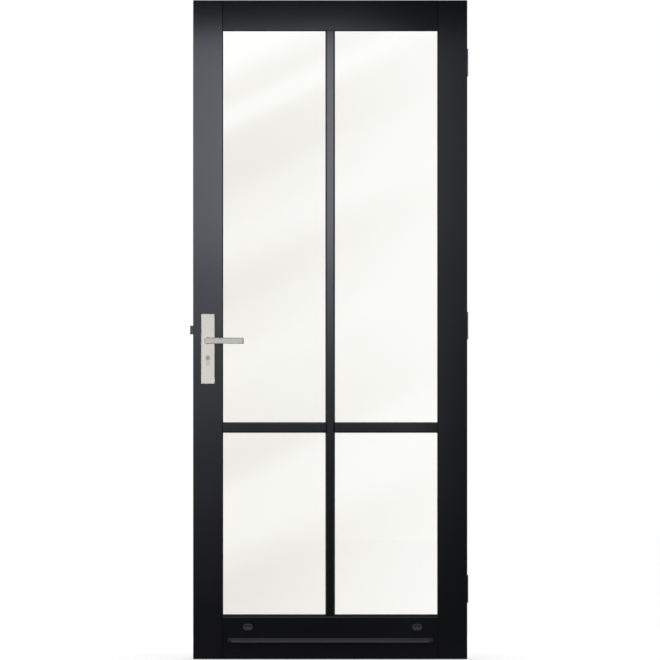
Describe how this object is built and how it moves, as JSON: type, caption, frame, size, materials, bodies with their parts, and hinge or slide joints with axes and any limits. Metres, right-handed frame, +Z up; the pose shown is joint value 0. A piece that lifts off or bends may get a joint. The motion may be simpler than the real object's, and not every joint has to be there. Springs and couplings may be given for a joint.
{
  "type": "patio door",
  "caption": "Glazed patio door leaf in dark painted timber, with glazing bars, vent caps, drip bar, lever handles, mortise lock and butt hinges.",
  "frame": {"origin": "middle of the leaf's bottom edge, halfway through its thickness", "axes": "+X to the right as seen from outside, +Y from outside to inside, +Z up"},
  "size_m": [0.8934, 0.178, 2.115],
  "materials": {
    "painted_timber": "satin opaque paint on hardwood",
    "dowel": "plain beech",
    "glass": "clear float glass",
    "spacer": "matt dark",
    "sealant": "matt",
    "cavity_bar": "satin coated",
    "gasket": "matt",
    "setting_block": "matt",
    "tape": "matt foam",
    "vent_cap": "satin moulded",
    "drip_bar": "satin coated",
    "drip_end": "satin moulded",
    "carrier": "mill finish",
    "fastener": "plain",
    "hinge_steel": "brushed stainless",
    "bearing": "turned",
    "handle_steel": "fine brushed stainless",
    "bush": "smooth",
    "lock_steel": "zinc plated",
    "forend": "brushed stainless",
    "bolt_steel": "nickel plated",
    "cylinder": "nickel plated"
  },
  "bodies": {
    "frame_flaps": {"hinge_frame_flap_top": "hinge_steel", "hinge_frame_flap_middle": "hinge_steel", "hinge_frame_flap_bottom": "hinge_steel", "hinge_pins": "hinge_steel", "hinge_bearings": "bearing"},
    "leaf": {"lock_stile": "painted_timber", "hinge_stile": "painted_timber", "top_rail": "painted_timber", "bottom_rail": "painted_timber", "glazing_bead_top": "painted_timber", "glazing_bead_bottom": "painted_timber", "glazing_bead_lock_side": "painted_timber", "glazing_bead_hinge_side": "painted_timber", "outer_bar_upright": "painted_timber", "outer_bar_left": "painted_timber", "outer_bar_right": "painted_timber", "inner_bar_upright": "painted_timber", "inner_bar_left": "painted_timber", "inner_bar_right": "painted_timber", "corner_dowels": "dowel", "glass_outer": "glass", "glass_inner": "glass", "spacer_frame": "spacer", "edge_seal": "sealant", "cavity_bars": "cavity_bar", "gasket_outer": "gasket", "gasket_inner": "gasket", "setting_blocks": "setting_block", "bead_pins": "fastener", "bar_tapes": "tape", "vent_cap_left": "vent_cap", "vent_cap_right": "vent_cap", "drip_hood": "drip_bar", "drip_end_left": "drip_end", "drip_end_right": "drip_end", "drip_carrier": "carrier", "wood_screws": "fastener", "hinge_leaf_flap_top": "hinge_steel", "hinge_leaf_flap_middle": "hinge_steel", "hinge_leaf_flap_bottom": "hinge_steel", "backplate_outer": "handle_steel", "backplate_inner": "handle_steel", "plate_bolts": "fastener", "lever_bushes": "bush", "lock_forend": "forend", "lock_case": "lock_steel", "lock_case_cover": "lock_steel", "lever_spring": "lock_steel", "cylinder_body": "cylinder", "cylinder_screw": "fastener"},
    "lever": {"lever_outer": "handle_steel", "lever_inner": "handle_steel", "spindle": "lock_steel", "grub_screws": "fastener", "lock_follower": "lock_steel"},
    "latch": {"latch_bolt": "bolt_steel"},
    "bolt": {"dead_bolt": "bolt_steel"},
    "outer_plug": {"cylinder_plug_outer": "cylinder", "cylinder_cam": "lock_steel"},
    "inner_plug": {"cylinder_plug_inner": "cylinder"}
  },
  "joints": [
    {"name": "door_swing", "type": "hinge", "parent": "frame_flaps", "child": "leaf", "pos_m": [0.434, 0.035, 0], "axis": [0, 0, -1], "range_deg": [0, 175]},
    {"name": "lever_turn", "type": "hinge", "parent": "leaf", "child": "lever", "pos_m": [-0.3925, 0, 1.022], "axis": [0, 1, 0], "range_deg": [0, 40], "stiffness_Nm_per_rad": 1.2, "springref_deg": -28.65},
    {"name": "latch_slide", "type": "slide", "parent": "leaf", "child": "latch", "axis": [1, 0, 0], "range_m": [0, 0.01]},
    {"name": "outer_plug_turn", "type": "hinge", "parent": "leaf", "child": "outer_plug", "pos_m": [-0.3925, 0, 0.967], "axis": [0, 1, 0], "range_deg": [0, 360]},
    {"name": "bolt_throw", "type": "slide", "parent": "leaf", "child": "bolt", "axis": [-1, 0, 0], "range_m": [0, 0.02]},
    {"name": "inner_plug_turn", "type": "hinge", "parent": "leaf", "child": "inner_plug", "pos_m": [-0.3925, 0, 0.967], "axis": [0, 1, 0], "range_deg": [0, 360]}
  ],
  "couplings": [
    {"joint": "latch_slide", "follows": "lever_turn", "m_per_rad": 0.01432},
    {"joint": "outer_plug_turn", "follows": "bolt_throw", "rad_per_m": 314.1}
  ]
}
